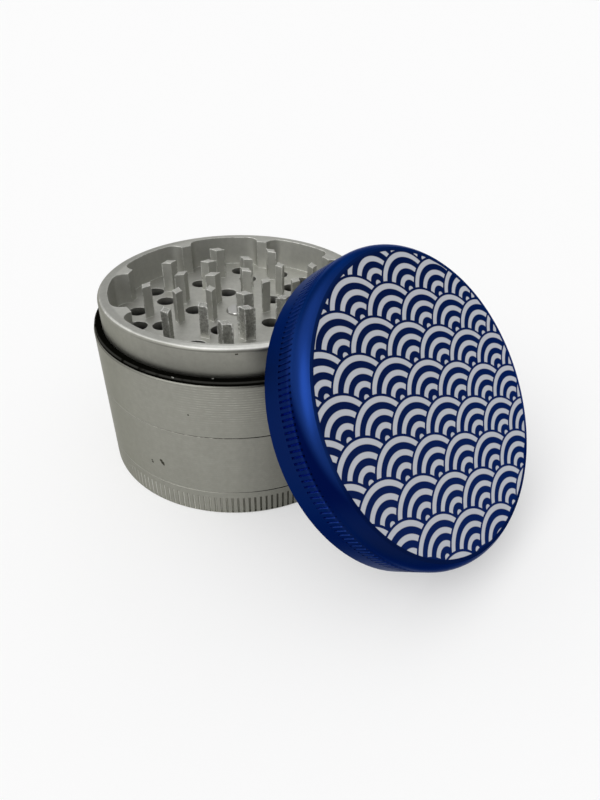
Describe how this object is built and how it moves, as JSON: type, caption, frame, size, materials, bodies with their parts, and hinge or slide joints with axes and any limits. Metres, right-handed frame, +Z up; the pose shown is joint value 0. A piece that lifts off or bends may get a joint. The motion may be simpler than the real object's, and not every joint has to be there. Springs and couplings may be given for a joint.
{
  "type": "herb grinder",
  "caption": "Round metal herb grinder: screwed silver chambers with milled teeth, sieve holes and a black friction ring, its blue patterned lid taken off and leaning on the rim.",
  "frame": {"origin": "centre of the stack's underside, on the floor", "axes": "+Z up along the stack's axis; the pictured side faces -Y; the lid leans at the front right, towards +X and -Y"},
  "size_m": [0.0931, 0.0917, 0.0549],
  "materials": {
    "satin_aluminium": "satin turned aluminium",
    "blue_anodised": "satin blue anodised aluminium with a pale printed pattern on its face",
    "black_plastic": "smooth black low-friction plastic",
    "magnet_nickel": "nickel-plated magnet",
    "steel_mesh": "stainless steel sieve",
    "spring_steel": "spring steel wire"
  },
  "bodies": {
    "chamber": {"grinding_chamber": "satin_aluminium", "chamber_magnet": "magnet_nickel"},
    "ring": {"friction_ring": "black_plastic"},
    "storage": {"storage_chamber": "satin_aluminium", "mesh_screen": "steel_mesh"},
    "clip": {"screen_clip": "spring_steel"},
    "catcher": {"kief_catcher": "satin_aluminium"},
    "lid_core": {"lid_magnet": "magnet_nickel"},
    "lid": {"lid": "blue_anodised"}
  },
  "joints": [
    {"name": "storage_turn", "type": "hinge", "parent": "chamber", "child": "ring", "pos_m": [0, 0, 0.021], "axis": [0, 0, -1], "range_deg": [0, 450]},
    {"name": "storage_drop", "type": "slide", "parent": "ring", "child": "storage", "axis": [0, 0, -1], "range_m": [0, 0.002]},
    {"name": "catcher_turn", "type": "hinge", "parent": "storage", "child": "clip", "pos_m": [0, 0, 0.0062], "axis": [0, 0, -1], "range_deg": [0, 450]},
    {"name": "catcher_drop", "type": "slide", "parent": "clip", "child": "catcher", "axis": [0, 0, -1], "range_m": [0, 0.002]},
    {"name": "lid_lift", "type": "slide", "parent": "chamber", "child": "lid_core", "axis": [0.539, -0.5698, 0.6203], "range_m": [0, 0.03]},
    {"name": "lid_spin", "type": "hinge", "parent": "lid_core", "child": "lid", "pos_m": [0.03017, -0.02912, 0.0244], "axis": [0.539, -0.5698, 0.6203], "continuous": true}
  ],
  "couplings": [
    {"joint": "storage_drop", "follows": "storage_turn", "m_per_rad": 0.00025465},
    {"joint": "catcher_drop", "follows": "catcher_turn", "m_per_rad": 0.00025465}
  ]
}
